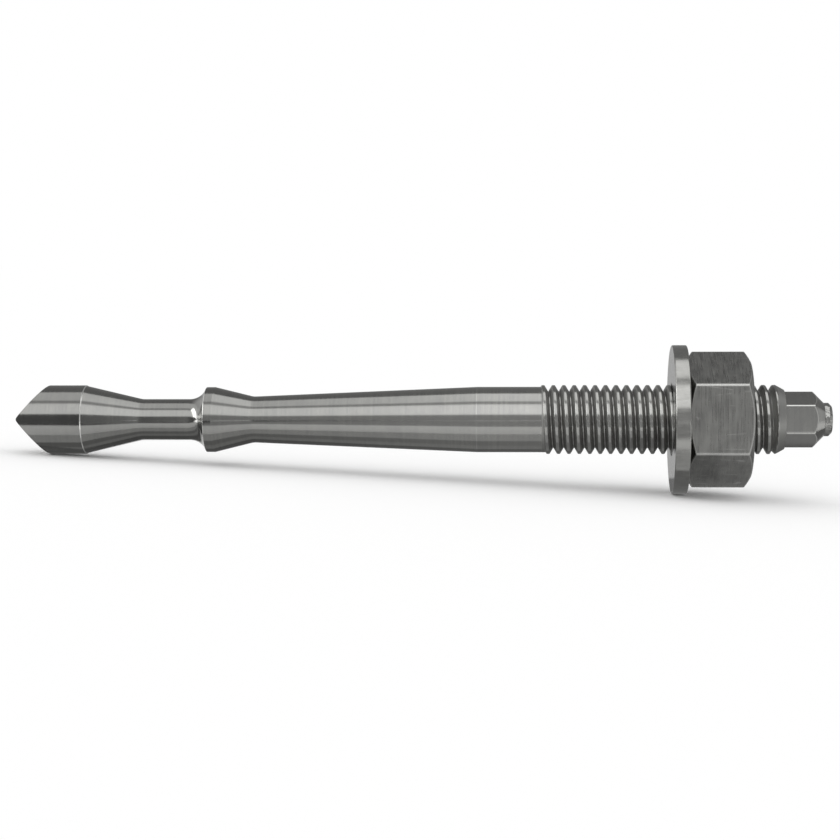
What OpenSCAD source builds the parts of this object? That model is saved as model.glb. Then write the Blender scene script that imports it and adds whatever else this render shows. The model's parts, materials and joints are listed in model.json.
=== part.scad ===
// Bonded anchor rod with its washer and nut, lying on a table.
// Units are millimetres. Each piece is drawn upright along its own axis, tip at the
// origin, and lay_down() then turns all three together onto their resting points.

/* [Tip] */
// diameter of the nose behind the tip
nose_d = 10; // [9:0.05:11]
// length from the tip's ridge to the back edge of the nose
nose_l = 9.25; // [6:0.05:14]
// angle between the two slopes of the roof-shaped tip, in degrees
roof_angle = 102; // [80:1:120]
// width of the blunt ridge at the tip
ridge_w = 0.4; // [0.1:0.05:1]

/* [Cones] */
// length of the cone from the nose down to the neck
nose_taper_l = 8.25; // [6:0.05:12]
// diameter of the neck
neck_d = 5.95; // [5:0.05:6.6]
// straight length of the neck
neck_l = 6.9; // [4:0.1:12]
// radius of the hollow that rises from the neck to the collar
hollow_r = 2.75; // [2.4:0.05:5]
// diameter of the collar
collar_d = 9.45; // [8.4:0.05:10]
// straight length of the collar
collar_l = 1.2; // [0.5:0.05:3]
// length of the cone from the collar down to the waist
collar_taper_l = 5.6; // [4:0.05:9]
// smallest diameter behind the collar
waist_d = 6.7; // [5.5:0.05:8]

/* [Shank] */
// length of the slow taper from the waist to the shank
long_taper_l = 32.5; // [20:0.5:80]
// diameter of the plain shank
shank_d = 9.45; // [8.9:0.05:9.7]
// length from the end of the taper to the first crest of the thread
shank_l = 9.3; // [4:0.1:30]

/* [Thread] */
// diameter over the crests of the thread
thread_d = 9.95; // [9.8:0.01:10.2]
// diameter at the roots of the thread
thread_root_d = 8.2; // [7.9:0.05:8.6]
// advance of the thread in one turn
pitch = 1.5; // [1.3:0.05:1.8]
// width of the narrow flat at the bottom of the groove
root_w = 0.09; // [0.06:0.01:0.3]
// length from the first crest to the end of the thread
thread_l = 34.6; // [25:0.1:90]
// diameter of the flat end of the thread, inside its bevel
thread_end_d = 8.6; // [8.4:0.05:9.2]

/* [Drive end] */
// width of the setting hexagon across its flats
drive_af = 7; // [6:0.05:7.2]
// length of the setting hexagon and its end cone
drive_l = 5.7; // [4:0.1:9]
// diameter of the round stub on the end
stub_d = 4.8; // [3:0.1:5.6]
// length of the stub
stub_l = 1.1; // [0.6:0.1:2.5]
// width of the bevel round the stub's end
stub_bevel = 0.45; // [0.1:0.05:0.5]

/* [Washer] */
// outer diameter of the washer
washer_d = 21.4; // [20:0.1:26]
// thickness of the washer
washer_t = 2.15; // [1.4:0.05:3]
// space between the thread and the washer's hole, on each side
washer_gap = 0.28; // [0.15:0.01:0.6]
// width of the bevel round the washer's edges
washer_bevel = 0.2; // [0.05:0.05:0.4]

/* [Nut] */
// width of the nut across its flats
nut_af = 17; // [15:0.1:18]
// height of the nut
nut_h = 9; // [7:0.1:11]
// length of thread that shows past the nut
nut_out = 4.85; // [2.5:0.05:8]
// space between the nut's thread and the rod's, on each side
nut_play = 0.16; // [0.12:0.01:0.25]

/* [Rest] */
// turn of the whole anchor about its own axis where it comes to rest, in degrees
rest_roll = 3.5; // [0:0.5:45]

/* [Hidden] */

steel_rod = [0.52, 0.52, 0.5];
steel_washer = [0.6, 0.6, 0.58];
steel_nut = [0.42, 0.42, 0.41];

nose_r = nose_d / 2;
neck_r = neck_d / 2;
collar_r = collar_d / 2;
waist_r = waist_d / 2;
shank_r = shank_d / 2;
crest_r = thread_d / 2;
root_r = thread_root_d / 2;
stub_r = stub_d / 2;
washer_r = washer_d / 2;
washer_bore_r = crest_r + washer_gap;
nut_corner_r = nut_af / 2 / cos(30);
drive_corner_r = drive_af / 2 / cos(30);

// heights along the rod, from the ridge of the tip
nose_end = nose_l;
neck_start = nose_end + nose_taper_l;
neck_end = neck_start + neck_l;
hollow_angle = acos(1 - (collar_r - neck_r) / hollow_r);
collar_start = neck_end + hollow_r * sin(hollow_angle);
collar_end = collar_start + collar_l;
waist_at = collar_end + collar_taper_l;
taper_end = waist_at + long_taper_l;
shank_end = taper_end + shank_l;
thread_end = shank_end + thread_l;
drive_end = thread_end + drive_l;
rod_end = drive_end + stub_l;
nut_top = thread_end - nut_out;
nut_base = nut_top - nut_h;
washer_base = nut_base - washer_t;

// the thread: flanks at 30 degrees, and a crest as wide as the groove leaves it
thread_steps = 36;
flank_slope = tan(30);
crest_half = (pitch - root_w) / 2 - (crest_r - root_r) * flank_slope;
// angle round the rod at which the thread begins, and the steps it takes to grow
thread_angle = 70;
grow_steps = 6;
// height of the crest where the thread begins, so that it passes the shank's end on top
first_crest = shank_end + 0.17 - pitch * (180 - thread_angle) / 360;
// the round shank stops short of the first crest, and the thread's own faces go on
shank_stop = first_crest - pitch / 2;
ring_inset = 0.02;
rod_turns = ceil((thread_end - first_crest) / pitch) + 1;
tap_turns = ceil(nut_h / pitch) + 4;
// whole turns from the rod's first crest to the nut's, which keeps the two in mesh
tap_skip = floor((nut_base - first_crest) / pitch) - 2;
bevel_slope = tan(29);
last_full = thread_end - (crest_r - thread_end_d / 2) / bevel_slope;

// resting points: the nose's lowest line, where the roof has cut it off, and the washer
nose_touch = (nose_r * cos(rest_roll) - ridge_w / 2) / tan(roof_angle / 2);
washer_touch = washer_base + washer_bevel;
lie_angle = atan((washer_r - nose_r) / (washer_touch - nose_touch));
lift = nose_r * cos(lie_angle) - nose_touch * sin(lie_angle);
left_x = -nose_r * sin(rest_roll) * sin(lie_angle);
right_x = rod_end * cos(lie_angle) + (stub_r - stub_bevel) * sin(lie_angle);
middle_x = (left_x + right_x) / 2;

// Lays an upright piece down: tip towards -X, washer and nose on the plane z = 0.
module lay_down() {
  translate([-middle_x, 0, lift])
    rotate([0, -lie_angle, 0])
      rotate([-rest_roll, 0, 0])
        rotate([0, 90, 0])
          children();
}

// A helical ridge on a core. It grows out of a ring of radius start_r at height ring_z,
// and its crest passes height crest_z at the angle where the thread begins.
module helix(tip_r, foot_r, start_r, ring_z, crest_z, turns) {
  n = thread_steps;
  last = turns * n;
  grow = [for (j = [0:last]) min(1, j / grow_steps)];
  ring = [for (j = [0:n - 1]) let (a = thread_angle + 360 * j / n)
    [start_r * cos(a), start_r * sin(a), ring_z]];
  ridge = [for (j = [0:last])
    let (a = thread_angle + 360 * j / n)
    let (z = crest_z + pitch * j / n)
    let (top = start_r + (tip_r - start_r) * grow[j])
    let (right = start_r + (foot_r - start_r) * grow[j])
    let (left = j < n ? start_r : start_r + (foot_r - start_r) * grow[j - n])
    let (left_half = crest_half + (tip_r - left) * flank_slope)
    let (right_half = crest_half + (tip_r - right) * flank_slope)
    for (p = [[left, -left_half], [top, -crest_half], [top, crest_half], [right, right_half]])
      [p[0] * cos(a), p[0] * sin(a), z + p[1]]];
  first_cap = n + 4 * (last + 1);
  end_cap = first_cap + 1;
  caps = [[0, 0, ring_z], [0, 0, crest_z + pitch * (turns - 0.5)]];
  end_loop = concat([for (j = [last - n:last]) n + 4 * j + 3],
    [n + 4 * last + 2, n + 4 * last + 1, n + 4 * last, n + 4 * (last - n) + 3]);
  step = n + 4 * (n - 1);
  step_loop = [n + 4 * n, n + 3, n + 2, n + 1, n, 0, n - 1];
  faces = concat(
    [for (j = [0:last - 1]) for (k = [0:2]) let (a = n + 4 * j + k) [a, a + 1, a + 5]],
    [for (j = [0:last - 1]) for (k = [0:2]) let (a = n + 4 * j + k) [a, a + 5, a + 4]],
    [for (j = [0:last - n - 1]) let (a = n + 4 * j + 3) let (b = n + 4 * (j + n)) [a, b, b + 4]],
    [for (j = [0:last - n - 1]) let (a = n + 4 * j + 3) let (b = n + 4 * (j + n)) [a, b + 4, a + 4]],
    [for (j = [0:n - 2]) [j, n + 4 * j, n + 4 * (j + 1)]],
    [for (j = [0:n - 2]) [j, n + 4 * (j + 1), j + 1]],
    [for (i = [0:len(step_loop) - 2]) [step, step_loop[i], step_loop[i + 1]]],
    [for (j = [0:n - 1]) [first_cap, j, (j + 1) % n]],
    [for (i = [0:len(end_loop) - 2]) [end_cap, end_loop[i + 1], end_loop[i]]]);
  polyhedron(points = concat(ring, ridge, caps), faces = faces);
}

// The turned front of the rod, from the tip to the shank, as a solid of revolution.
module turned_front() {
  rotate_extrude($fn = 96)
    difference() {
      polygon([[0, 0], [nose_r, 0], [nose_r, nose_end], [neck_r, neck_start],
        [neck_r, neck_end], [collar_r, neck_end], [collar_r, collar_end], [waist_r, waist_at],
        [shank_r, taper_end], [shank_r, shank_stop], [0, shank_stop]]);
      translate([neck_r + hollow_r, neck_end])
        circle(r = hollow_r, $fn = 96);
    }
}

// The roof: two slopes that leave a blunt ridge across the tip.
module roof() {
  reach = rod_end;
  spread = ridge_w / 2 + reach * tan(roof_angle / 2);
  rotate([90, 0, 0])
    linear_extrude(height = 4 * nose_d, center = true)
      polygon([[-ridge_w / 2, 0], [ridge_w / 2, 0], [spread, reach], [-spread, reach]]);
}

// The threaded length, cut to a bevel at its end.
module threaded_length() {
  out = crest_r + 1;
  bevel_z = thread_end - (out - thread_end_d / 2) / bevel_slope;
  intersection() {
    helix(crest_r, root_r, shank_r - ring_inset, shank_stop - 0.5, first_crest, rod_turns);
    rotate_extrude($fn = 96)
      polygon([[0, shank_stop - 2], [out, shank_stop - 2], [out, bevel_z],
        [thread_end_d / 2, thread_end], [0, thread_end]]);
  }
}

// The bevel's core, a hair below its surface, where the groove runs out.
module groove_end() {
  low = root_r - 0.3;
  sunk = 0.02;
  top = thread_end - 0.1;
  rotate_extrude($fn = 96)
    polygon([[0, last_full - crest_r + low], [low, last_full - crest_r + low],
      [crest_r - sunk, last_full], [crest_r - sunk - (top - last_full) * bevel_slope, top], [0, top]]);
}

// The setting hexagon with its end cone, and the stub turned on its end.
module drive_end_piece() {
  out = drive_corner_r + 1;
  cone_z = drive_end - (out - stub_r);
  start = thread_end - 0.4;
  intersection() {
    translate([0, 0, start])
      cylinder(r = drive_corner_r, h = rod_end - start + 1, $fn = 6);
    rotate_extrude($fn = 96)
      polygon([[0, start - 1], [out, start - 1], [out, cone_z], [stub_r, drive_end],
        [stub_r, rod_end - stub_bevel], [stub_r - stub_bevel, rod_end], [0, rod_end]]);
  }
}

module anchor_rod() {
  color(steel_rod)
    lay_down()
      union() {
        intersection() {
          turned_front();
          roof();
        }
        threaded_length();
        groove_end();
        drive_end_piece();
      }
}

module washer() {
  top = washer_base + washer_t;
  b = washer_bevel;
  color(steel_washer)
    lay_down()
      rotate_extrude($fn = 96)
        polygon([[washer_bore_r, washer_base + b], [washer_bore_r + b, washer_base],
          [washer_r - b, washer_base], [washer_r, washer_base + b], [washer_r, top - b],
          [washer_r - b, top], [washer_bore_r + b, top], [washer_bore_r, top - b]]);
}

// The nut's outside: a hexagon with a 30 degree bevel that takes off its corners.
module nut_body() {
  out = nut_corner_r + 1;
  face_r = nut_af / 2 - 0.05;
  drop = (out - face_r) * tan(30);
  intersection() {
    translate([0, 0, nut_base - 1])
      cylinder(r = nut_corner_r, h = nut_h + 2, $fn = 6);
    rotate_extrude($fn = 96)
      polygon([[0, nut_base], [face_r, nut_base], [out, nut_base + drop],
        [out, nut_top - drop], [face_r, nut_top], [0, nut_top]]);
  }
}

// The nut's countersinks, where its thread begins and ends.
module nut_countersinks() {
  mouth = crest_r + nut_play + 0.3;
  bottom = root_r - 0.5;
  drop = mouth - bottom;
  rotate_extrude($fn = 96)
    polygon([[0, nut_base - 1], [mouth, nut_base - 1], [mouth, nut_base],
      [bottom, nut_base + drop], [0, nut_base + drop]]);
  rotate_extrude($fn = 96)
    polygon([[0, nut_top + 1], [mouth, nut_top + 1], [mouth, nut_top],
      [bottom, nut_top - drop], [0, nut_top - drop]]);
}

module hex_nut() {
  tap_crest = first_crest + tap_skip * pitch;
  color(steel_nut)
    lay_down()
      difference() {
        nut_body();
        helix(crest_r + nut_play, root_r + nut_play, root_r + nut_play,
          tap_crest - 2, tap_crest, tap_turns);
        nut_countersinks();
      }
}

anchor_rod();
washer();
hex_nut();
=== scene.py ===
"""Looks for a bonded anchor rod with its washer and nut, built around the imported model.

Every surface is worked out in the anchor's own directions: along the axis from the tip,
up in the picture, and front towards the camera. Angles round the axis are counted from
up towards front, which is also the way a right-hand thread advances.
"""

import json
import math

import bpy
import numpy as np
from bpy.props import FloatProperty, PointerProperty, StringProperty
from mathutils import Matrix, Vector


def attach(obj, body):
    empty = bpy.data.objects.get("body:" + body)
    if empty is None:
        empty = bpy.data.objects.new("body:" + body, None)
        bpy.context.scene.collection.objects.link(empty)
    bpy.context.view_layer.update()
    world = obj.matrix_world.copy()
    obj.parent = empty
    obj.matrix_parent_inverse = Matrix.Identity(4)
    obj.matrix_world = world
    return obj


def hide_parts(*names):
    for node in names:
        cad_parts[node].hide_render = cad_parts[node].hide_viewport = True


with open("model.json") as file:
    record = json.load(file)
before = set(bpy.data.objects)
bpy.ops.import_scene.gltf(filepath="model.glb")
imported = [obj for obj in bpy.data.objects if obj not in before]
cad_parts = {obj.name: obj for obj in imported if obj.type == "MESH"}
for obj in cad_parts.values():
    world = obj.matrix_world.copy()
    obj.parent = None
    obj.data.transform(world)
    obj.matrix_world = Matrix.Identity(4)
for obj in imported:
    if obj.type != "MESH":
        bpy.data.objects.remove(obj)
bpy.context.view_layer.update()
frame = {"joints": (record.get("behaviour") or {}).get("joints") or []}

bl_info = {
    "name": "Bonded anchor rod",
    "version": (1, 0, 0),
    "blender": (4, 5, 0),
    "location": "View3D > Sidebar > Anchor",
    "description": "Builds a bonded anchor rod with its washer and nut on a white floor",
    "category": "Add Mesh",
}

MM = 0.001
COLUMNS = 120           # points round each piece, twenty to each side of a hexagon
# rows of points in one turn of a thread, in turns from the crest's middle: close together at
# the crest's edges and in the root
PROFILE = np.array([0, 0.05, 0.085, 0.11, 0.13, 0.15, 0.175, 0.22, 0.3, 0.38, 0.44, 0.467,
                    0.5, 0.533, 0.56, 0.62, 0.7, 0.78, 0.825, 0.85, 0.87, 0.89, 0.915, 0.95])
THREAD_START = math.radians(249)   # angle round the axis where the thread runs out
RUN_OUT = math.radians(60)         # turn over which it runs out
FLANK = math.radians(30)           # lean of its flanks
END_BEVEL = math.radians(29)       # lean of the bevel at its end
CREST_LEAD = 0.17 * MM  # from the shank's end to the middle of the first crest, on top
CREST_SOFT, ROOT_SOFT = 0.04 * MM, 0.015 * MM   # rounding beside the crest and in the root
GROOVE_SOFT = 0.05 * MM  # rounding where the groove rises to the bevelled end
NOSE_BEVEL = (0.12 * MM, 0.11 * MM)   # at the nose's back edge, along the axis and across
NUT_BEVEL = math.radians(30)       # lean of the nut's bevels
FACE_STEP = 0.05 * MM   # the nut's bevels begin this far inside its flats
COUNTERSINK = 0.3 * MM  # width of the nut's countersinks past its thread
ARC_STEPS, SIDE_STEPS = 9, 8       # points on an outline's rounded corners, steps on its sides
SHARP = math.radians(35)           # faces that meet at more than this show a sharp edge
SNAP = 0.006 * MM       # rows of a thread that end nearer than this to a flat end join it
WELD = 1e-4 * MM        # points nearer than this are one point
EDGE_LINE = (0.05 * MM, 0.08 * MM)    # half width of a painted highlight line on an edge, full and faded out
EDGE_INSET = 0.09 * MM  # on flats that end at a cone, the painted highlight line lies this far before it
STRIP_Z, PATCH_Z = 0.05 * MM, 0.1 * MM   # heights of the cards that lie on the floor


def length(name, text, mm):
    """A size that is stored in metres and given here in millimetres."""
    return FloatProperty(name=name, description=text, default=mm * MM, min=0.0,
                         precision=5, unit="LENGTH")


def degrees(name, text, value):
    """An angle that is stored in radians and given here in degrees."""
    return FloatProperty(name=name, description=text, default=math.radians(value),
                         subtype="ANGLE")


def paint(name, text, value):
    """A colour as an sRGB hex value."""
    return StringProperty(name=name, description=text, default=value)


class AnchorRodSizes(bpy.types.PropertyGroup):
    """Sizes of the rod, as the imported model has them."""
    rest_roll: degrees("Rest roll", "Turn about its own axis as the anchor lies", 3.5)
    nose_d: length("Nose diameter", "Across the nose behind the tip", 10.0)
    nose_l: length("Nose length", "From the tip's ridge to the nose's back edge", 9.25)
    roof_angle: degrees("Roof angle", "Between the two slopes of the tip", 102.0)
    ridge_w: length("Ridge width", "Across the blunt ridge of the tip", 0.4)
    nose_taper_l: length("Nose cone", "Length of the cone behind the nose", 8.25)
    neck_d: length("Neck diameter", "Across the neck", 5.95)
    neck_l: length("Neck length", "Straight length of the neck", 6.9)
    hollow_r: length("Hollow radius", "Of the hollow that rises to the collar", 2.75)
    collar_d: length("Collar diameter", "Across the collar", 9.45)
    collar_l: length("Collar length", "Straight length of the collar", 1.2)
    collar_taper_l: length("Collar cone", "Length of the cone behind the collar", 5.6)
    waist_d: length("Waist diameter", "Smallest diameter behind the collar", 6.7)
    long_taper_l: length("Slow taper", "From the waist to the shank", 32.5)
    shank_d: length("Shank diameter", "Across the plain shank", 9.45)
    shank_l: length("Shank length", "From the taper to the first crest", 9.3)
    thread_d: length("Thread diameter", "Over the crests", 9.95)
    thread_root_d: length("Root diameter", "At the roots of the thread", 8.2)
    pitch: length("Pitch", "Advance of the thread in one turn", 1.5)
    root_w: length("Root width", "Of the flat at the bottom of the groove", 0.09)
    thread_l: length("Thread length", "From the first crest to the thread's end", 34.6)
    thread_end_d: length("Thread end", "Across the flat end, inside its bevel", 8.6)
    drive_af: length("Drive width", "Across the flats of the setting hexagon", 7.0)
    drive_r: length("Drive corner", "Rounding of the hexagon's six long edges", 0.22)
    drive_l: length("Drive length", "Length of the setting hexagon", 5.7)
    stub_d: length("Stub diameter", "Across the round stub", 4.8)
    stub_l: length("Stub length", "Length of the stub", 1.1)
    stub_bevel: length("Stub bevel", "Width of the bevel on the stub", 0.45)


class AnchorWasherSizes(bpy.types.PropertyGroup):
    """Sizes of the washer."""
    outer_d: length("Diameter", "Outer diameter", 21.4)
    thickness: length("Thickness", "Thickness", 2.15)
    bore_gap: length("Bore gap", "Between the thread and the hole, each side", 0.28)
    edge_r: length("Edge radius", "Rounding of the stamped edges", 0.2)


class AnchorNutSizes(bpy.types.PropertyGroup):
    """Sizes of the nut."""
    width_af: length("Width", "Across the flats", 17.0)
    height: length("Height", "Height", 9.0)
    thread_out: length("Thread past the nut", "Length of thread that shows", 4.85)
    play: length("Thread play", "Between its thread and the rod's, each side", 0.16)
    corner_r: length("Corner radius", "Rounding of the six long edges", 0.36)
    edge_r: length("Bevel edge", "Rounding between the bevels and the flats", 0.25)


class AnchorFinishes(bpy.types.PropertyGroup):
    """Colours, as sRGB hex values."""
    rod_light: paint("Rod, light", "Bright turned zinc plate", "9A9A97")
    rod_dark: paint("Rod, dark", "Same plate, duller patches", "929290")
    # painted highlight: a near white colour laid along edges of the rod and the nut
    edge_highlight: paint("Edge highlight", "Painted highlight on edges", "F2F2EF")
    washer_light: paint("Washer, light", "Stamped zinc plate", "A6A6A3")
    washer_dark: paint("Washer, dark", "Same plate, handled", "989895")
    nut_light: paint("Nut, light", "Satin zinc plate", "999996")
    nut_dark: paint("Nut, dark", "Same plate, scuffed", "7E7E7C")
    floor: paint("Floor", "White floor", "FFFFFF")


def sizes():
    """The sizes of the rod, the washer and the nut."""
    scene = bpy.context.scene
    return scene.anchor_rod, scene.anchor_washer, scene.anchor_nut


def heights():
    """Distances along the axis from the tip's ridge, worked out from the sizes."""
    rod, washer, nut = sizes()
    rise = (rod.collar_d - rod.neck_d) / 2
    hollow = math.acos(1 - rise / rod.hollow_r)
    steps = [rod.nose_l, rod.nose_taper_l, rod.neck_l, rod.hollow_r * math.sin(hollow),
             rod.collar_l, rod.collar_taper_l, rod.long_taper_l, rod.shank_l, rod.thread_l,
             rod.drive_l, rod.stub_l]
    names = ["nose_end", "neck_start", "neck_end", "collar_start", "collar_end", "waist",
             "taper_end", "shank_end", "thread_end", "drive_end", "rod_end"]
    at = dict(zip(names, np.cumsum(steps)))
    at["hollow_angle"] = hollow
    at["nut_top"] = at["thread_end"] - nut.thread_out
    at["nut_base"] = at["nut_top"] - nut.height
    at["washer_base"] = at["nut_base"] - washer.thickness
    quarter = (math.radians(360) - THREAD_START) / math.tau
    at["first_crest"] = at["shank_end"] + CREST_LEAD - rod.pitch * quarter
    at["thread_low"] = at["first_crest"] - rod.pitch / 2
    bevel = (rod.thread_d - rod.thread_end_d) / 2 / math.tan(END_BEVEL)
    at["last_full"] = at["thread_end"] - bevel
    return at


def directions():
    """The anchor's tip, axis, up and front in the model's frame. The nut's joint gives the
    axis and a point on it, at the nut's base."""
    turn = next(j for j in frame["joints"] if j["name"] == "nut_turn")
    along = np.array(turn["axis"], float)
    along /= np.linalg.norm(along)
    level_front = np.array([0.0, -1.0, 0.0])
    level_up = np.cross(level_front, along)
    roll = sizes()[0].rest_roll
    front = level_front * math.cos(roll) + level_up * math.sin(roll)
    up = level_up * math.cos(roll) - level_front * math.sin(roll)
    tip = np.array(turn["pos_m"], float) - along * heights()["nut_base"]
    return tip, along, up, front


def placed(u, h, f):
    """Points at distance u along the axis, h up and f to the front, in the model's frame."""
    tip, along, up, front = directions()
    u, h, f = np.broadcast_arrays(u, h, f)
    return tip + u[..., None] * along + h[..., None] * up + f[..., None] * front


def round_angles():
    """Even steps round the axis, from where the thread runs out."""
    return THREAD_START + math.tau * np.arange(COLUMNS) / COLUMNS


def eased(steps):
    """Shares of a way, up to 1, whose steps shorten towards both ends: half of 1 - cos."""
    return 0.5 - 0.5 * np.cos(np.pi * np.arange(1, steps + 1) / steps)


def filleted(corners, radii):
    """An open outline with rounded corners. Each inner corner becomes an arc of its radius,
    tangent to both sides, and each side is split into steps that shorten towards its ends."""
    p, radii = np.asarray(corners, float), np.asarray(radii, float)
    side = np.diff(p, axis=0)
    side /= np.linalg.norm(side, axis=1)[:, None]
    a, b = side[:-1], side[1:]
    turn = np.arctan2(a[:, 0] * b[:, 1] - a[:, 1] * b[:, 0], (a * b).sum(1))
    inward = np.sign(turn)[:, None] * np.stack([-a[:, 1], a[:, 0]], 1)
    start = p[1:-1] - a * (radii * np.tan(np.abs(turn) / 2))[:, None]
    phi = (np.linspace(0, 1, ARC_STEPS) * np.abs(turn)[:, None])[..., None]
    arcs = start[:, None] + radii[:, None, None] * (
        np.sin(phi) * a[:, None] + (1 - np.cos(phi)) * inward[:, None])
    begins, ends = np.vstack([p[:1], arcs[:, -1]]), np.vstack([arcs[:, 0], p[-1:]])
    share = eased(SIDE_STEPS)[None, :-1, None]
    sides = begins[:, None] + share * (ends - begins)[:, None]
    body = np.concatenate([sides[:-1], arcs], axis=1).reshape(-1, 2)
    return np.concatenate([p[:1], body, sides[-1], p[-1:]])


def revolved(outline, angles):
    """An outline of (distance along, radius) carried round the axis at the given angles."""
    u, r = outline[:, :1], outline[:, 1:]
    return placed(u + 0 * angles, r * np.cos(angles), r * np.sin(angles))


def corner_reach(half_width, corner_r):
    """Distance from the middle of a hexagon to the crown of its rounded corners."""
    return (half_width - corner_r) / math.cos(math.radians(30)) + corner_r


def rounded_hexagon(half_width, corner_r):
    """A hexagon with a corner at the top and rounded corners: a smaller hexagon's corners
    plus arcs of corner_r, nine points to an arc and eleven between two arcs. The list begins
    near the angle where the thread runs out. Gives up, front and the polar angle."""
    k = np.radians(60) * np.arange(6)[:, None]
    psi = k + np.radians(np.linspace(-30, 30, 9))[None, :]
    centre = corner_reach(half_width, corner_r) - corner_r
    arcs = np.stack([centre * np.cos(k) + corner_r * np.cos(psi),
                     centre * np.sin(k) + corner_r * np.sin(psi)], -1)
    share = (np.arange(1, 12) / 12)[None, :, None]
    flats = arcs[:, -1:] + share * (np.roll(arcs, -1, axis=0)[:, :1] - arcs[:, -1:])
    loop = np.concatenate([arcs, flats], axis=1).reshape(-1, 2)
    angle = np.arctan2(loop[:, 1], loop[:, 0])
    first = np.argmin(np.abs(np.angle(np.exp(1j * (angle - THREAD_START)))))
    loop, angle = np.roll(loop, -first, axis=0), np.roll(angle, -first)
    return loop[:, 0], loop[:, 1], angle


def soft_min(a, b, width):
    """The lower of a and b, with the corner between them rounded over about width."""
    return -width * np.logaddexp(-a / width, -b / width)


def soft_max(a, b, width):
    """The higher of a and b, rounded in the same way."""
    return width * np.logaddexp(a / width, b / width)


def thread_radius(u, turned, crest_at, run_out):
    """Radius of a right-hand thread at distance u and at an angle 'turned' past its start.
    The flanks lean 30 degrees, the crest is as wide as the groove leaves it, and both ends
    of each flank are rounded. Where the thread runs out, its crest sinks and its root rises
    to the shank over a sixth of a turn."""
    rod = sizes()[0]
    crest_r, root_r, shank_r = rod.thread_d / 2, rod.thread_root_d / 2, rod.shank_d / 2
    lean = math.tan(FLANK)
    crest_half = (rod.pitch - rod.root_w) / 2 - (crest_r - root_r) * lean
    w = (u - crest_at) / rod.pitch - turned / math.tau
    nearest, left = np.round(w), np.floor(w)
    if run_out:
        nearest = np.maximum(nearest, 0)
        grown_crest = run_in(math.tau * nearest + turned)
        grown_root = np.where(left < 0, 0, run_in(math.tau * left + turned))
    else:
        grown_crest = grown_root = 1.0
    top = shank_r + (crest_r - shank_r) * grown_crest
    floor = shank_r + (root_r - shank_r) * grown_root
    away = np.abs(w - nearest) * rod.pitch
    flank = crest_r - (away - crest_half) / lean
    return soft_max(floor, soft_min(top, flank, CREST_SOFT), ROOT_SOFT)


def run_in(angle):
    """Grows smoothly from 0 to 1 over the turn in which the thread runs out."""
    t = np.clip(angle / RUN_OUT, 0, 1)
    return t * t * (3 - 2 * t)


def helical_rows(low, high, crest_at):
    """Rows of points that climb by one pitch in each turn, cut off flat at low and high.
    Rows keep the same place on the thread's profile, so a row at the end of a turn is the row
    one PROFILE further on at its start. Gives distances along and angles past the start."""
    pitch = sizes()[0].pitch
    turned = math.tau * np.arange(COLUMNS) / COLUMNS
    first = math.floor((low - crest_at) / pitch - 1.5)
    last = math.ceil((high - crest_at) / pitch + 0.5)
    w = np.append((np.arange(first, last)[:, None] + PROFILE).ravel(), last)
    w = w[(w * pitch >= low - crest_at - pitch - 1e-9) | (w > 0)]
    u = crest_at + pitch * (w[:, None] + turned[None, :] / math.tau)
    u = np.where(u - low < SNAP, low, np.where(high - u < SNAP, high, u))
    return u, np.broadcast_to(turned, u.shape)


def quads(points, shift=0, inward=False):
    """Corner numbers of the faces between neighbouring rows and columns. The last column
    meets the first one again, shift rows further on."""
    rows, cols = points.shape[:2]
    i, j = np.arange(rows - 1)[:, None], np.arange(cols)[None, :]
    on = np.where(j == cols - 1, shift, 0)
    near, far = np.minimum(i + on, rows - 1), np.minimum(i + 1 + on, rows - 1)
    beside = (j + 1) % cols
    corners = [i * cols + j, near * cols + beside, far * cols + beside, (i + 1) * cols + j]
    faces = np.stack(np.broadcast_arrays(*corners), -1).reshape(-1, 4)
    return faces[:, ::-1] if inward else faces


def welded_mesh(name, grids):
    """One closed mesh from grids of points, each with its faces. Points that fall on the
    same place become one, and faces that lose a corner become triangles or go."""
    points = np.concatenate([g.reshape(-1, 3) for g, _ in grids])
    starts = np.cumsum([0] + [g.shape[0] * g.shape[1] for g, _ in grids])
    faces = np.concatenate([f + s for (_, f), s in zip(grids, starts)])
    key = np.round(points / WELD).astype(np.int64)
    _, kept, index = np.unique(key, axis=0, return_index=True, return_inverse=True)
    faces = index.reshape(-1)[faces]
    same = faces == np.roll(faces, -1, axis=1)
    whole, short = faces[same.sum(1) == 0], faces[same.sum(1) == 1]
    gap = np.argmax(same[same.sum(1) == 1], axis=1)
    keep = np.stack([(gap + k) % 4 for k in (1, 2, 3)], 1)
    triangles = np.take_along_axis(short, keep, axis=1)
    whole = whole[(whole[:, 0] != whole[:, 2]) & (whole[:, 1] != whole[:, 3])]
    used, index = np.unique(np.concatenate([whole.ravel(), triangles.ravel()]),
                            return_inverse=True)
    whole = index[:whole.size].reshape(-1, 4)
    triangles = index[-triangles.size:].reshape(-1, 3) if triangles.size else triangles
    mesh = bpy.data.meshes.new(name)
    mesh.from_pydata(points[kept][used], [], whole.tolist() + triangles.tolist())
    if mesh.validate(verbose=False):
        raise RuntimeError(f"{name}: the mesh had broken faces")
    mesh.polygons.foreach_set("use_smooth", np.ones(len(mesh.polygons), bool))
    mesh.set_sharp_from_angle(angle=SHARP)
    mesh.update()
    return mesh


def piece(name, mesh, material, body, node):
    """Adds a finished mesh to the scene in place of a CAD node, riding on its body."""
    obj = bpy.data.objects.new(name, mesh)
    bpy.context.scene.collection.objects.link(obj)
    mesh.materials.append(material)
    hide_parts(node)
    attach(obj, body)


def roof_height(across):
    """Distance from the ridge of the tip at a distance across it: a hyperbola, blunt at the
    ridge and then straight at half the roof's angle."""
    rod = sizes()[0]
    blunt = rod.ridge_w / 2
    return (np.hypot(across, blunt) - blunt) / math.tan(rod.roof_angle / 2)


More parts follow.
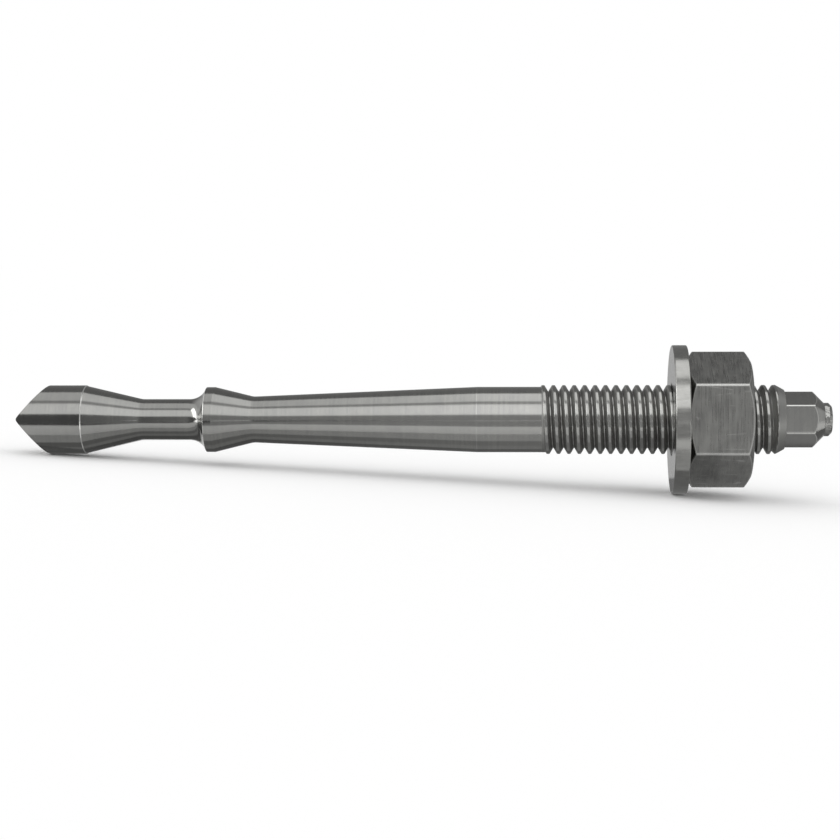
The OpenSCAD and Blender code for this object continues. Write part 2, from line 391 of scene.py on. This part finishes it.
def tip_grid():
    """The roof, from its ridge to the nose's rim, and the nose's wall up to a full ring.
    Rows go from the ridge straight down the slopes, then along the wall."""
    rod = sizes()[0]
    angles = round_angles()
    rim_h, rim_f = rod.nose_d / 2 * np.cos(angles), rod.nose_d / 2 * np.sin(angles)
    share = np.linspace(0, 1, 15)[:, None] ** 1.6
    slope = placed(roof_height(share * rim_h), share * rim_h, rim_f + 0 * share)
    rim_u, full = roof_height(rim_h), 6.0 * MM
    climb = eased(10)[:, None]
    wall = placed(rim_u + climb * (full - rim_u), rim_h + 0 * climb, rim_f + 0 * climb)
    return np.concatenate([slope, wall]), full


def body_outline(start):
    """The turned outline from the nose to the shank: nose with a fine bevel on its back
    edge, cone, neck, hollow, collar, cone, slow taper and shank."""
    rod, at = sizes()[0], heights()
    nose_r, neck_r, collar_r = rod.nose_d / 2, rod.neck_d / 2, rod.collar_d / 2
    edge_u, edge_r = at["nose_end"] + NOSE_BEVEL[0], nose_r - NOSE_BEVEL[1]
    front_rounding = np.array([0.04, 0.04, 3.0]) * MM       # bevel's edges, cone to neck
    back_rounding = np.array([0.1, 0.2, 2.5, 12.0]) * MM    # collar's edges, waist, shank
    front = filleted([(start, nose_r), (at["nose_end"], nose_r), (edge_u, edge_r),
                      (at["neck_start"], neck_r), (at["neck_end"], neck_r)],
                     front_rounding)
    bend = np.linspace(0, at["hollow_angle"] * 0.95, 22)[1:]
    hollow = np.stack([at["neck_end"] + rod.hollow_r * np.sin(bend),
                       neck_r + rod.hollow_r * (1 - np.cos(bend))], 1)
    back = filleted([tuple(hollow[-1]), (at["collar_start"], collar_r),
                     (at["collar_end"], collar_r), (at["waist"], rod.waist_d / 2),
                     (at["taper_end"], rod.shank_d / 2), (at["thread_low"], rod.shank_d / 2)],
                    back_rounding)
    return np.concatenate([front, hollow, back[1:]])


def thread_grid():
    """The threaded length, from the shank to the thread's end. The groove runs out in a 45
    degree rise where the bevelled end begins."""
    rod, at = sizes()[0], heights()
    u, turned = helical_rows(at["thread_low"], at["thread_end"], at["first_crest"])
    r = thread_radius(u, turned, at["first_crest"], run_out=True)
    r = np.where(u <= at["thread_low"], rod.shank_d / 2, r)
    cone = rod.thread_end_d / 2 + (at["thread_end"] - u) * math.tan(END_BEVEL)
    r = soft_max(r, rod.thread_d / 2 - (at["last_full"] - u), GROOVE_SOFT)
    r = np.minimum(r, cone)
    angle = THREAD_START + turned
    return placed(u, r * np.cos(angle), r * np.sin(angle)), r[-1]


def drive_grid(end_r):
    """The thread's flat end, the setting hexagon, its end cone, and the stub."""
    rod, at = sizes()[0], heights()
    angles = round_angles()
    hex_h, hex_f, hex_angle = rounded_hexagon(rod.drive_af / 2, rod.drive_r)
    hex_r = np.hypot(hex_h, hex_f)
    stub_r = rod.stub_d / 2
    share = np.array([0, 0.3, 0.65, 0.92, 1.0])[:, None]
    rim_h, rim_f = end_r * np.cos(angles), end_r * np.sin(angles)
    foot = placed(at["thread_end"] + 0 * share * hex_r, rim_h + share * (hex_h - rim_h),
                  rim_f + share * (hex_f - rim_f))
    top = at["drive_end"] - (hex_r - stub_r)
    climb = eased(12)[:, None]
    flats = placed(at["thread_end"] + climb * (top - at["thread_end"]), hex_h + 0 * climb,
                   hex_f + 0 * climb)
    cone_share = np.linspace(0, 1, 9)[1:, None]
    cone_r = hex_r + cone_share * (stub_r - hex_r)
    cone = placed(top + cone_share * (at["drive_end"] - top), cone_r * np.cos(hex_angle),
                  cone_r * np.sin(hex_angle))
    stub_rounding = np.array([0.2, 0.15]) * MM
    outline = filleted([(at["drive_end"], stub_r), (at["rod_end"] - rod.stub_bevel, stub_r),
                        (at["rod_end"], stub_r - rod.stub_bevel), (at["rod_end"], 0.0)],
                       stub_rounding)
    stub = revolved(outline[1:], hex_angle)
    return np.concatenate([foot, flats, cone, stub])


class AnchorBuildRod(bpy.types.Operator):
    """Builds the turned and threaded rod in one closed mesh"""
    bl_idname = "anchor.build_rod"
    bl_label = "Anchor rod"

    def execute(self, context):
        tip, full = tip_grid()
        body = revolved(body_outline(full), round_angles())
        thread, end_r = thread_grid()
        drive = drive_grid(end_r)
        grids = [(tip, quads(tip)), (body, quads(body)),
                 (thread, quads(thread, shift=PROFILE.size)), (drive, quads(drive))]
        mesh = welded_mesh("rod_steel_body", grids)
        piece("rod_body", mesh, turned_zinc_plate(), "rod", "anchor_rod")
        return {"FINISHED"}


class AnchorBuildWasher(bpy.types.Operator):
    """Builds the stamped washer as a revolved outline with rounded edges"""
    bl_idname = "anchor.build_washer"
    bl_label = "Washer"

    def execute(self, context):
        rod, washer, _ = sizes()
        low = heights()["washer_base"]
        high, middle = low + washer.thickness, low + washer.thickness / 2
        bore, rim = rod.thread_d / 2 + washer.bore_gap, washer.outer_d / 2
        outline = filleted([(middle, bore), (low, bore), (low, rim), (high, rim),
                            (high, bore), (middle, bore)], [washer.edge_r] * 4)
        surface = revolved(outline, round_angles())
        mesh = welded_mesh("washer_steel_ring", [(surface, quads(surface))])
        piece("washer_ring", mesh, stamped_zinc_plate(), "washer", "washer")
        return {"FINISHED"}


def nut_mouth():
    """Radius of the nut's countersinks at its faces."""
    rod, _, nut = sizes()
    return rod.thread_d / 2 + nut.play + COUNTERSINK


def nut_outside():
    """The nut's faces, bevels and six flats. Rows go from the lower countersink out over the
    lower face, over the bevel and up the flats to the middle, and the upper half mirrors them.
    The bevel is a 30 degree cone, so it meets the flats higher up the nearer they are to a
    corner, and an arc tangent to both rounds that edge: from the corner back along the bevel
    by radius times tan(30), then sin along the bevel and 1 - cos across it."""
    nut, at = sizes()[2], heights()
    low, high = at["nut_base"], at["nut_top"]
    hex_h, hex_f, hex_angle = rounded_hexagon(nut.width_af / 2, nut.corner_r)
    hex_r = np.hypot(hex_h, hex_f)
    face_r, mouth = nut.width_af / 2 - FACE_STEP, nut_mouth()
    angles = round_angles()
    turn = np.angle(np.exp(1j * (hex_angle - angles)))
    share = np.linspace(0, 1, 7)[:, None]
    ring = mouth + share * (face_r - mouth)
    way = angles + share * turn
    sin, cos, tan = math.sin(NUT_BEVEL), math.cos(NUT_BEVEL), math.tan(NUT_BEVEL)
    slope = (hex_r - face_r) / cos
    edge_r = np.minimum(nut.edge_r, 0.8 * slope / tan)
    bevel = np.linspace(0, 1, 7)[1:, None] * (slope - edge_r * tan)
    phi = np.linspace(0, math.radians(90) - NUT_BEVEL, 7)[1:, None]
    along, across = bevel[-1] + edge_r * np.sin(phi), edge_r * (1 - np.cos(phi))
    arc_u = along * sin + across * cos
    arc_r = face_r + along * cos - across * sin
    climb = (1 - np.cos(np.pi / 2 * np.arange(1, 9) / 8))[:, None]
    wall_u = arc_u[-1] + climb * ((high - low) / 2 - arc_u[-1])
    u = np.concatenate([0 * way, bevel * sin, arc_u, wall_u])
    r = np.concatenate([ring + 0 * way, face_r + bevel * cos, arc_r, arc_r[-1] + 0 * climb])
    angle = np.concatenate([way, hex_angle + np.zeros((len(u) - len(way), 1))])
    h, f = r * np.cos(angle), r * np.sin(angle)
    return np.concatenate([placed(low + u, h, f), placed(high - u, h, f)[-2::-1]])


def nut_thread():
    """The nut's thread, which is the rod's with play all round, cut by 45 degree
    countersinks at both faces."""
    at, mouth, play = heights(), nut_mouth(), sizes()[2].play
    low, high = at["nut_base"], at["nut_top"]
    u, turned = helical_rows(low, high, at["first_crest"])
    r = thread_radius(u, turned, at["first_crest"], run_out=False) + play
    r = np.maximum(r, np.maximum(mouth - (u - low), mouth - (high - u)))
    angle = THREAD_START + turned
    return placed(u, r * np.cos(angle), r * np.sin(angle))


class AnchorBuildNut(bpy.types.Operator):
    """Builds the hexagon nut with its bevels and its inner thread"""
    bl_idname = "anchor.build_nut"
    bl_label = "Hexagon nut"

    def execute(self, context):
        outside, inside = nut_outside(), nut_thread()
        grids = [(outside, quads(outside)),
                 (inside, quads(inside, shift=PROFILE.size, inward=True))]
        mesh = welded_mesh("nut_steel_body", grids)
        piece("nut_body", mesh, satin_zinc_plate(), "nut", "hex_nut")
        return {"FINISHED"}


def linear(hex_value):
    """An sRGB hex value as linear red, green, blue and alpha."""
    srgb = np.array([int(hex_value[i:i + 2], 16) for i in (0, 2, 4)]) / 255
    low = srgb / 12.92
    high = ((srgb + 0.055) / 1.055) ** 2.4
    return (*np.where(srgb <= 0.04045, low, high).tolist(), 1.0)


def add_node(tree, kind, settings=(), **inputs):
    """Adds a node, sets its options and sockets, and links any socket given as a tuple of
    (node, output name). Underscores in socket names stand for spaces."""
    made = tree.nodes.new(kind)
    for name, value in dict(settings).items():
        setattr(made, name, value)
    for name, value in inputs.items():
        key = int(name[1:]) if name[0] == "_" else name.replace("_", " ")
        socket = made.inputs[key]
        if isinstance(value, tuple) and isinstance(value[0], bpy.types.Node):
            tree.links.new(value[0].outputs[value[1]], socket)
        else:
            socket.default_value = value
    return made


def steel(name):
    """An empty metal material whose pattern coordinates lie along the anchor's axis: X runs
    along it, Y and Z across it."""
    material = bpy.data.materials.new(name)
    material.use_nodes = True
    tree = material.node_tree
    tree.nodes.clear()
    tip, along, up, front = directions()
    turn = Matrix((along, -front, up)).transposed().to_euler()
    where = add_node(tree, "ShaderNodeTexCoord")
    axis = add_node(tree, "ShaderNodeMapping", {"vector_type": "TEXTURE"},
                    Vector=(where, "Object"), Location=tuple(tip), Rotation=tuple(turn))
    return material, tree, axis


def zinc_plate(name, dark, light, marks, rough, relief):
    """Zinc plated steel in two close greys. The number of tool marks in a millimetre, along
    the axis and across it, sets a stretched noise, which together with soft patches of about
    2 mm blends the greys. The marks also roughen the plate between two values and give it a
    fine relief. Returns the material and the nodes that a finish may add to."""
    material, tree, axis = steel(name)
    stretch = add_node(tree, "ShaderNodeMapping", Vector=(axis, "Vector"),
                       Scale=(marks[0] / MM, marks[1] / MM, marks[1] / MM))
    grain = add_node(tree, "ShaderNodeTexNoise", Vector=(stretch, "Vector"), Scale=1.0,
                     Detail=3.0, Roughness=0.6)
    patches = add_node(tree, "ShaderNodeTexNoise", Vector=(axis, "Vector"),
                       Scale=0.5 / MM, Detail=4.0, Roughness=0.6)
    mottle = add_node(tree, "ShaderNodeMath", {"operation": "ADD"}, _0=(grain, "Fac"),
                      _1=(patches, "Fac"))
    blend = add_node(tree, "ShaderNodeMapRange", Value=(mottle, 0), From_Min=0.75,
                     From_Max=1.25)
    colour = add_node(tree, "ShaderNodeMix", {"data_type": "RGBA"}, Factor=(blend, "Result"),
                      _6=linear(dark), _7=linear(light))
    dull = add_node(tree, "ShaderNodeMapRange", Value=(grain, "Fac"), From_Min=0.3,
                    From_Max=0.7, To_Min=rough[0], To_Max=rough[1])
    bump = add_node(tree, "ShaderNodeBump", Height=(grain, "Fac"), Strength=relief,
                    Distance=0.01 * MM)
    shader = add_node(tree, "ShaderNodeBsdfPrincipled", Base_Color=(colour, 2), Metallic=1.0,
                      Roughness=(dull, "Result"), Normal=(bump, "Normal"))
    add_node(tree, "ShaderNodeOutputMaterial", Surface=(shader, "BSDF"))
    return material, axis, colour, bump, shader


def distance_from_axis(tree, axis):
    """The length of a place's part that lies across the anchor's axis."""
    across = add_node(tree, "ShaderNodeVectorMath", {"operation": "MULTIPLY"},
                      _0=(axis, "Vector"), _1=(0.0, 1.0, 1.0))
    return add_node(tree, "ShaderNodeVectorMath", {"operation": "LENGTH"},
                    _0=(across, "Vector"))


def line_mask(tree, value, place, full, gone, strength=1.0):
    """Marks a line: the strength where a value is within 'full' of a place, fading to 0 where
    it is 'gone' away from it."""
    off = add_node(tree, "ShaderNodeMath", {"operation": "SUBTRACT"}, _0=value, _1=place)
    off = add_node(tree, "ShaderNodeMath", {"operation": "ABSOLUTE"}, _0=(off, 0))
    return add_node(tree, "ShaderNodeMapRange", Value=(off, 0), From_Min=full, From_Max=gone,
                    To_Min=strength, To_Max=0.0)


def paint_in_highlight(tree, shader, colour, where):
    """Paints a near white highlight into the base colour where a value is 1."""
    painted_highlight = linear(bpy.context.scene.anchor_finish.edge_highlight)
    edged = add_node(tree, "ShaderNodeMix", {"data_type": "RGBA"}, Factor=(where, 0),
                     _6=(colour, 2), _7=painted_highlight)
    tree.links.new(edged.outputs[2], shader.inputs["Base Color"])


def turned_zinc_plate():
    """Turned steel, bright zinc plated: a smooth plate that mirrors soft bands of the room,
    with the lathe's rings across it, four to a millimetre. The shank is a little brighter than
    the nose. The thread's flanks are rougher and painted darker, a painted shade in the groove.
    The edges of the nose, the collar and the drive and the line where the taper ends carry
    painted highlights, and the sawn stub is uneven."""
    finish, at, rod = bpy.context.scene.anchor_finish, heights(), sizes()[0]
    material, axis, colour, bump, shader = zinc_plate(
        "turned_zinc_plated_steel", finish.rod_dark, finish.rod_light, (4.0, 0.1),
        (0.12, 0.17), 0.06)
    tree = material.node_tree
    place = add_node(tree, "ShaderNodeSeparateXYZ", Vector=(axis, "Vector"))
    radius = distance_from_axis(tree, axis)
    gain = add_node(tree, "ShaderNodeMapRange", Value=(place, "X"), From_Min=at["collar_end"],
                    From_Max=at["taper_end"], To_Min=0.92, To_Max=1.16)
    middle = (rod.thread_d + rod.thread_root_d) / 4
    depth = (rod.thread_d - rod.thread_root_d) / 2
    # painted shade on the thread's flanks: their colour is darkened to 0.85, and their plate is
    # made rougher
    flank = line_mask(tree, (radius, "Value"), middle, 0.36 * depth, 0.46 * depth)
    threaded = add_node(tree, "ShaderNodeMath", {"operation": "GREATER_THAN"},
                        _0=(place, "X"), _1=at["shank_end"])
    flank_shade_and_dulling = add_node(tree, "ShaderNodeMath", {"operation": "MULTIPLY"}, _0=(flank, "Result"),
                    _1=(threaded, 0))
    shade = add_node(tree, "ShaderNodeMapRange", Value=(flank_shade_and_dulling, 0), To_Min=1.0, To_Max=0.85)
    shade = add_node(tree, "ShaderNodeMath", {"operation": "MULTIPLY"}, _0=(gain, "Result"),
                     _1=(shade, "Result"))
    smooth = shader.inputs["Roughness"].links[0].from_node
    dull = add_node(tree, "ShaderNodeMix", Factor=(flank_shade_and_dulling, 0), _2=(smooth, "Result"), _3=0.45)
    tree.links.new(dull.outputs[0], shader.inputs["Roughness"])
    plate = add_node(tree, "ShaderNodeMix", {"data_type": "RGBA", "blend_type": "MULTIPLY"},
                     Factor=1.0, _6=(colour, 2), _7=(shade, 0))
    # painted highlight along the drive hexagon's six long edges
    reach = corner_reach(rod.drive_af / 2, rod.drive_r)
    corner = add_node(tree, "ShaderNodeMapRange", Value=(radius, "Value"), To_Max=0.4,
                      From_Min=reach - 0.058 * MM, From_Max=reach - 0.028 * MM)
    on_drive = add_node(tree, "ShaderNodeMath", {"operation": "GREATER_THAN"},
                        _0=(place, "X"), _1=at["thread_end"] + 0.1 * MM)
    highlights_plus_any_scratches = add_node(tree, "ShaderNodeMath", {"operation": "MULTIPLY"}, _0=(corner, "Result"),
                    _1=(on_drive, 0))
    # the drive's end is a 45 degree cone, on which distance along and radius have one sum
    cone_sum = add_node(tree, "ShaderNodeMath", {"operation": "ADD"}, _0=(place, "X"),
                        _1=(radius, "Value"))
    # painted highlight lines on the nose's back edge, the collar, the end of the taper and the
    # drive's end cone, at the given strengths
    highlight_lines = (((place, "X"), at["nose_end"] + NOSE_BEVEL[0] / 2, 1.0),
                  ((place, "X"), at["collar_start"], 0.5),
                  ((place, "X"), at["taper_end"], 0.12),
                  ((cone_sum, 0), at["drive_end"] + rod.stub_d / 2 - EDGE_INSET, 0.5))
    for value, edge_at, painted_highlight in highlight_lines:
        edge = line_mask(tree, value, edge_at, *EDGE_LINE, painted_highlight)
        highlights_plus_any_scratches = add_node(tree, "ShaderNodeMath", {"operation": "MAXIMUM"}, _0=(highlights_plus_any_scratches, 0),
                        _1=(edge, "Result"))
    paint_in_highlight(tree, shader, plate, highlights_plus_any_scratches)
    saw = add_node(tree, "ShaderNodeTexNoise", Vector=(axis, "Vector"), Scale=1.4 / MM,
                   Detail=2.0)
    sawn = add_node(tree, "ShaderNodeMapRange", Value=(place, "X"), From_Min=at["drive_end"],
                    From_Max=at["drive_end"] + 0.1 * MM, To_Max=0.8)
    uneven = add_node(tree, "ShaderNodeBump", Height=(saw, "Fac"), Strength=(sawn, "Result"),
                      Distance=0.25 * MM, Normal=(bump, "Normal"))
    tree.links.new(uneven.outputs["Normal"], shader.inputs["Normal"])
    return material


def stamped_zinc_plate():
    """Stamped steel, zinc plated, with the sheared rim's short strokes along the axis."""
    finish = bpy.context.scene.anchor_finish
    return zinc_plate("stamped_zinc_plated_steel", finish.washer_dark, finish.washer_light,
                      (0.6, 3.0), (0.13, 0.22), 0.15)[0]


def satin_zinc_plate():
    """Forged nut, zinc plated satin: dull, with long fine scuffs across the flats. Its six long
    edges and the edges of its bevels carry painted highlights in a near white colour. A bevel's
    edge is found as the place where the flats come near the bevel's cone."""
    finish, at, nut = bpy.context.scene.anchor_finish, heights(), sizes()[2]
    material, axis, colour, _, shader = zinc_plate(
        "satin_zinc_plated_steel", finish.nut_dark, finish.nut_light, (6.0, 0.3),
        (0.24, 0.36), 0.25)
    tree = material.node_tree
    radius = distance_from_axis(tree, axis)
    # painted highlights: near white along the six long edges and along the edges of the bevels
    reach = corner_reach(nut.width_af / 2, nut.corner_r)
    corner = add_node(tree, "ShaderNodeMapRange", Value=(radius, "Value"),
                      From_Min=reach - 0.1 * MM, From_Max=reach - 0.05 * MM)
    place = add_node(tree, "ShaderNodeSeparateXYZ", Vector=(axis, "Vector"))
    off_middle = add_node(tree, "ShaderNodeMath", {"operation": "SUBTRACT"}, _0=(place, "X"),
                          _1=(at["nut_base"] + at["nut_top"]) / 2)
    off_middle = add_node(tree, "ShaderNodeMath", {"operation": "ABSOLUTE"}, _0=(off_middle, 0))
    lean = math.tan(NUT_BEVEL)
    cone_sum = add_node(tree, "ShaderNodeMath", {"operation": "MULTIPLY_ADD"},
                        _0=(radius, "Value"), _1=lean, _2=(off_middle, 0))
    cone = nut.height / 2 + (nut.width_af / 2 - FACE_STEP) * lean
    bevel = line_mask(tree, (cone_sum, 0), cone - EDGE_INSET, *EDGE_LINE, 0.8)
    highlights_plus_any_scratches = add_node(tree, "ShaderNodeMath", {"operation": "MAXIMUM"}, _0=(corner, "Result"),
                    _1=(bevel, "Result"))
    # hairline scratches along the axis: where a noise that is drawn out along it passes its
    # middle value, broken into lengths of a few millimetres by another noise
    drawn_out = add_node(tree, "ShaderNodeMapping", Vector=(axis, "Vector"),
                         Scale=(0.05 / MM, 0.45 / MM, 0.45 / MM))
    slow = add_node(tree, "ShaderNodeTexNoise", Vector=(drawn_out, "Vector"), Scale=1.0,
                    Detail=0.0)
    broken = add_node(tree, "ShaderNodeTexNoise", Vector=(axis, "Vector"), Scale=0.4 / MM,
                      Detail=1.0)
    length_left = add_node(tree, "ShaderNodeMapRange", Value=(broken, "Fac"), From_Min=0.52,
                           From_Max=0.58, To_Max=0.7)
    scratch = line_mask(tree, (slow, "Fac"), 0.5, 0.004, 0.012, (length_left, "Result"))
    highlights_plus_any_scratches = add_node(tree, "ShaderNodeMath", {"operation": "MAXIMUM"}, _0=(highlights_plus_any_scratches, 0),
                    _1=(scratch, "Result"))
    # the painted highlights and the scratches together, laid in at 0.35
    highlights_plus_any_scratches = add_node(tree, "ShaderNodeMath", {"operation": "MULTIPLY"}, _0=(highlights_plus_any_scratches, 0), _1=0.35)
    paint_in_highlight(tree, shader, colour, highlights_plus_any_scratches)
    return material


def around(start_deg, end_deg, radius, span=(-1.2, 1.4)):
    """A strip of a cylinder round the anchor's axis, between two angles counted from the
    front towards up and two distances along the axis."""
    angles = np.radians(np.linspace(start_deg, end_deg, 17))[:, None]
    u = np.linspace(*span, 9)[None, :]
    return placed(u + 0 * angles, radius * np.sin(angles), radius * np.cos(angles))


def upright(start_deg, end_deg, radius, top):
    """A strip of an upright cylinder that stands on the floor round the anchor's neck,
    between two angles counted from the front towards the tip's side."""
    centre = placed(heights()["neck_end"], 0.0, 0.0)
    angles = np.radians(np.linspace(start_deg, end_deg, 9))[None, :]
    z = np.linspace(0.002, top, 5)[:, None]
    return np.stack(np.broadcast_arrays(centre[0] - radius * np.sin(angles),
                                        centre[1] - radius * np.cos(angles), z), -1)


def under(near_deg, far_deg):
    """A strip of the floor that the rod mirrors between two angles below the front. A round
    surface at half such an angle mirrors the camera's ray by the whole angle, and the ray
    then meets the floor. Worked out at the nose and on the thread, whose angles may differ,
    and straight between."""
    rod, at = sizes()[0], heights()
    tip, along = directions()[:2]
    u = np.array([rod.nose_l / 2, at["washer_base"]])
    radius = np.array([rod.nose_d, rod.thread_d]) / 2
    height = (tip + u[:, None] * along)[:, 2]
    turn = np.radians([near_deg + np.zeros(2), far_deg + np.zeros(2)])
    low, down = turn / 2 - rod.rest_roll, turn - rod.rest_roll
    front = radius * np.cos(low) + (height - radius * np.sin(low)) / np.tan(down)
    share = np.linspace(-0.4, 1.6, 5)
    front = front[:, :1] + share * np.diff(front, axis=1)
    x = tip[0] + (u[0] + share * np.diff(u)) * along[0]
    return np.stack(np.broadcast_arrays(x, -front, STRIP_Z), -1)


def on_floor(x_from, x_to, y_from, y_to):
    """A rectangle just above the floor and the strips under the rod."""
    x, y = np.meshgrid([x_from, x_to], [y_from, y_to])
    return np.stack([x, y, np.full_like(x, PATCH_Z)], -1)


def studio_card(name, grid, left, right):
    """A glowing sheet that the anchor mirrors and that neither the camera nor the floor
    sees. Its glow goes from one value to another between two places along X, in metres."""
    rows, cols = grid.shape[:2]
    i, j = np.meshgrid(np.arange(rows - 1), np.arange(cols - 1), indexing="ij")
    a = (i * cols + j).ravel()
    faces = np.stack([a, a + 1, a + cols + 1, a + cols], 1)
    mesh = bpy.data.meshes.new(name)
    mesh.from_pydata(grid.reshape(-1, 3), [], faces.tolist())
    material = bpy.data.materials.new(name)
    material.use_nodes = True
    tree = material.node_tree
    tree.nodes.clear()
    where = add_node(tree, "ShaderNodeTexCoord")
    split = add_node(tree, "ShaderNodeSeparateXYZ", Vector=(where, "Object"))
    glow = add_node(tree, "ShaderNodeMapRange", Value=(split, "X"), From_Min=left[0],
                    From_Max=right[0], To_Min=left[1], To_Max=right[1])
    light = add_node(tree, "ShaderNodeEmission", Strength=(glow, "Result"))
    add_node(tree, "ShaderNodeOutputMaterial", Surface=(light, "Emission"))
    mesh.materials.append(material)
    card = bpy.data.objects.new(name, mesh)
    bpy.context.scene.collection.objects.link(card)
    card.visible_camera = card.visible_diffuse = card.visible_shadow = False


def white_floor():
    """A wide white floor at the height on which the anchor lies."""
    half = 20.0
    mesh = bpy.data.meshes.new("floor")
    mesh.from_pydata([(-half, -half, 0), (half, -half, 0), (half, half, 0), (-half, half, 0)],
                     [], [(0, 1, 2, 3)])
    material = bpy.data.materials.new("white_painted_board")
    material.use_nodes = True
    shader = material.node_tree.nodes["Principled BSDF"]
    shader.inputs["Base Color"].default_value = linear(bpy.context.scene.anchor_finish.floor)
    shader.inputs["Roughness"].default_value = 1.0
    shader.inputs["Specular IOR Level"].default_value = 0.0
    mesh.materials.append(material)
    floor = bpy.data.objects.new("floor", mesh)
    bpy.context.scene.collection.objects.link(floor)


def photo_camera():
    """The photograph's viewpoint: level with the anchor's front, opposite a point two thirds
    of the way along it, turned to put the whole anchor in the frame."""
    tip, along, up, front = directions()
    opposite, distance, aim, drop = 75.47 * MM, 285.0 * MM, 61.0 * MM, 0.065 * MM
    where = tip + along * opposite + front * distance
    target = tip + along * aim - up * drop
    back = where - target
    back /= np.linalg.norm(back)
    right = np.cross(up, back)
    right /= np.linalg.norm(right)
    data = bpy.data.cameras.new("photo_camera")
    data.sensor_width = 36.0
    data.lens = 84.51
    data.shift_x = -0.025
    data.clip_start, data.clip_end = 0.01, 100.0
    camera = bpy.data.objects.new("photo_camera", data)
    turn = Matrix((right, np.cross(back, right), back)).transposed().to_4x4()
    camera.matrix_world = Matrix.Translation(Vector(where)) @ turn
    bpy.context.scene.collection.objects.link(camera)
    bpy.context.scene.camera = camera


# each card's name, its shape with what places it, and its glow at two places along X
CARDS = (
    ("card_front", around, (-3.5, 16.0, 0.12), (0.0, 0.43), (0.1, 0.48)),
    ("card_front_low", under, ((20.0, 27.0), (4.2, 5.0)), (-0.040, 0.09), (-0.034, 0.43)),
    ("card_nose", around, (-15.5, 16.0, 0.025, (-0.04, 0.0215)), (-0.050, 0.15),
     (-0.038, 0.34)),
    ("card_key", around, (18.0, 54.0, 0.60), (-0.13, 1.45), (0.03, 1.60)),
    ("card_gap", around, (56.0, 66.0, 0.60), (-0.13, 0.50), (0.03, 0.60)),
    ("card_top", around, (68.0, 104.0, 0.60), (-0.13, 1.05), (0.03, 1.45)),
    ("card_back", around, (104.0, 168.0, 0.60), (-0.6, 0.80), (-0.28, 0.26)),
    ("card_far", around, (168.0, 183.0, 0.60), (-0.6, 0.90), (-0.28, 0.53)),
    ("card_left", upright, (55.0, 80.0, 0.50, 0.5), (-0.5, 5.0), (-0.2, 5.0)),
    ("card_right", upright, (-82.0, -45.0, 0.50, 0.6), (0.2, 0.35), (0.5, 0.35)),
    ("card_end", upright, (-108.0, -82.0, 0.50, 0.6), (0.2, 0.62), (0.5, 0.62)),
    # dark strips on the floor under the rod that only the metal mirrors: a painted shadow of
    # the rod on the floor, in bands
    ("painted_shadow_grey", under, (53.5, 83.0), (-0.06, 0.50), (0.06, 0.50)),
    ("painted_shadow_dark", under, (83.0, 106.5), (-0.06, 0.22), (0.06, 0.36)),
    ("painted_shadow_dim", under, (106.5, 130.0), (-0.06, 0.33), (0.06, 0.36)),
    ("painted_shadow_black", under, (130.0, 170.0), (-0.06, 0.14), (0.06, 0.20)),
    ("floor_far", on_floor, (-0.3, 0.3, 0.022, 0.7), (0.0, 0.50), (0.1, 0.50)),
    ("floor_left", on_floor, (-0.12, -0.066, -0.025, -0.004), (-0.1, 4.0), (-0.06, 4.0)),
    # dark patches on the floor in front of the washer that only the metal mirrors: a painted
    # shadow of the washer, darker under its rim
    ("painted_shadow_washer", on_floor, (0.029, 0.043, -0.018, -0.009), (0.0, 0.55), (0.1, 0.55)),
    ("painted_shadow_rim", on_floor, (0.029, 0.043, -0.009, -0.001), (0.0, 0.25), (0.1, 0.25)),
)


class AnchorSetStage(bpy.types.Operator):
    """Sets the camera, the white floor, the white room and the cards the metal mirrors"""
    bl_idname = "anchor.set_stage"
    bl_label = "Stage"

    def execute(self, context):
        photo_camera()
        white_floor()
        world = bpy.data.worlds.new("white_room")
        world.use_nodes = True
        room = world.node_tree.nodes["Background"]
        room.inputs["Color"].default_value = (1.0, 1.0, 1.0, 1.0)
        room.inputs["Strength"].default_value = 1.0
        context.scene.world = world
        for name, shape, places, left, right in CARDS:
            studio_card(name, shape(*places), left, right)
        context.scene.view_settings.view_transform = "Standard"
        return {"FINISHED"}


class AnchorPanel(bpy.types.Panel):
    """Lists the anchor's sizes, colours and build steps"""
    bl_idname = "VIEW3D_PT_anchor"
    bl_label = "Bonded anchor rod"
    bl_space_type = "VIEW_3D"
    bl_region_type = "UI"
    bl_category = "Anchor"

    def draw(self, context):
        for group in ("anchor_rod", "anchor_washer", "anchor_nut", "anchor_finish"):
            box = self.layout.box()
            values = getattr(context.scene, group)
            for name in values.__annotations__:
                box.prop(values, name)
        for operator in OPERATORS:
            self.layout.operator(operator.bl_idname)


OPERATORS = (AnchorBuildRod, AnchorBuildWasher, AnchorBuildNut, AnchorSetStage)
GROUPS = {"anchor_rod": AnchorRodSizes, "anchor_washer": AnchorWasherSizes,
          "anchor_nut": AnchorNutSizes, "anchor_finish": AnchorFinishes}
CLASSES = (*GROUPS.values(), *OPERATORS, AnchorPanel)


def register():
    for cls in CLASSES:
        bpy.utils.register_class(cls)
    for name, group in GROUPS.items():
        setattr(bpy.types.Scene, name, PointerProperty(type=group))


def unregister():
    for name in GROUPS:
        delattr(bpy.types.Scene, name)
    for cls in reversed(CLASSES):
        bpy.utils.unregister_class(cls)


def main():
    register()
    bpy.ops.anchor.build_rod()
    bpy.ops.anchor.build_washer()
    bpy.ops.anchor.build_nut()
    bpy.ops.anchor.set_stage()
    bpy.context.view_layer.update()


if __name__ == "__main__":
    main()
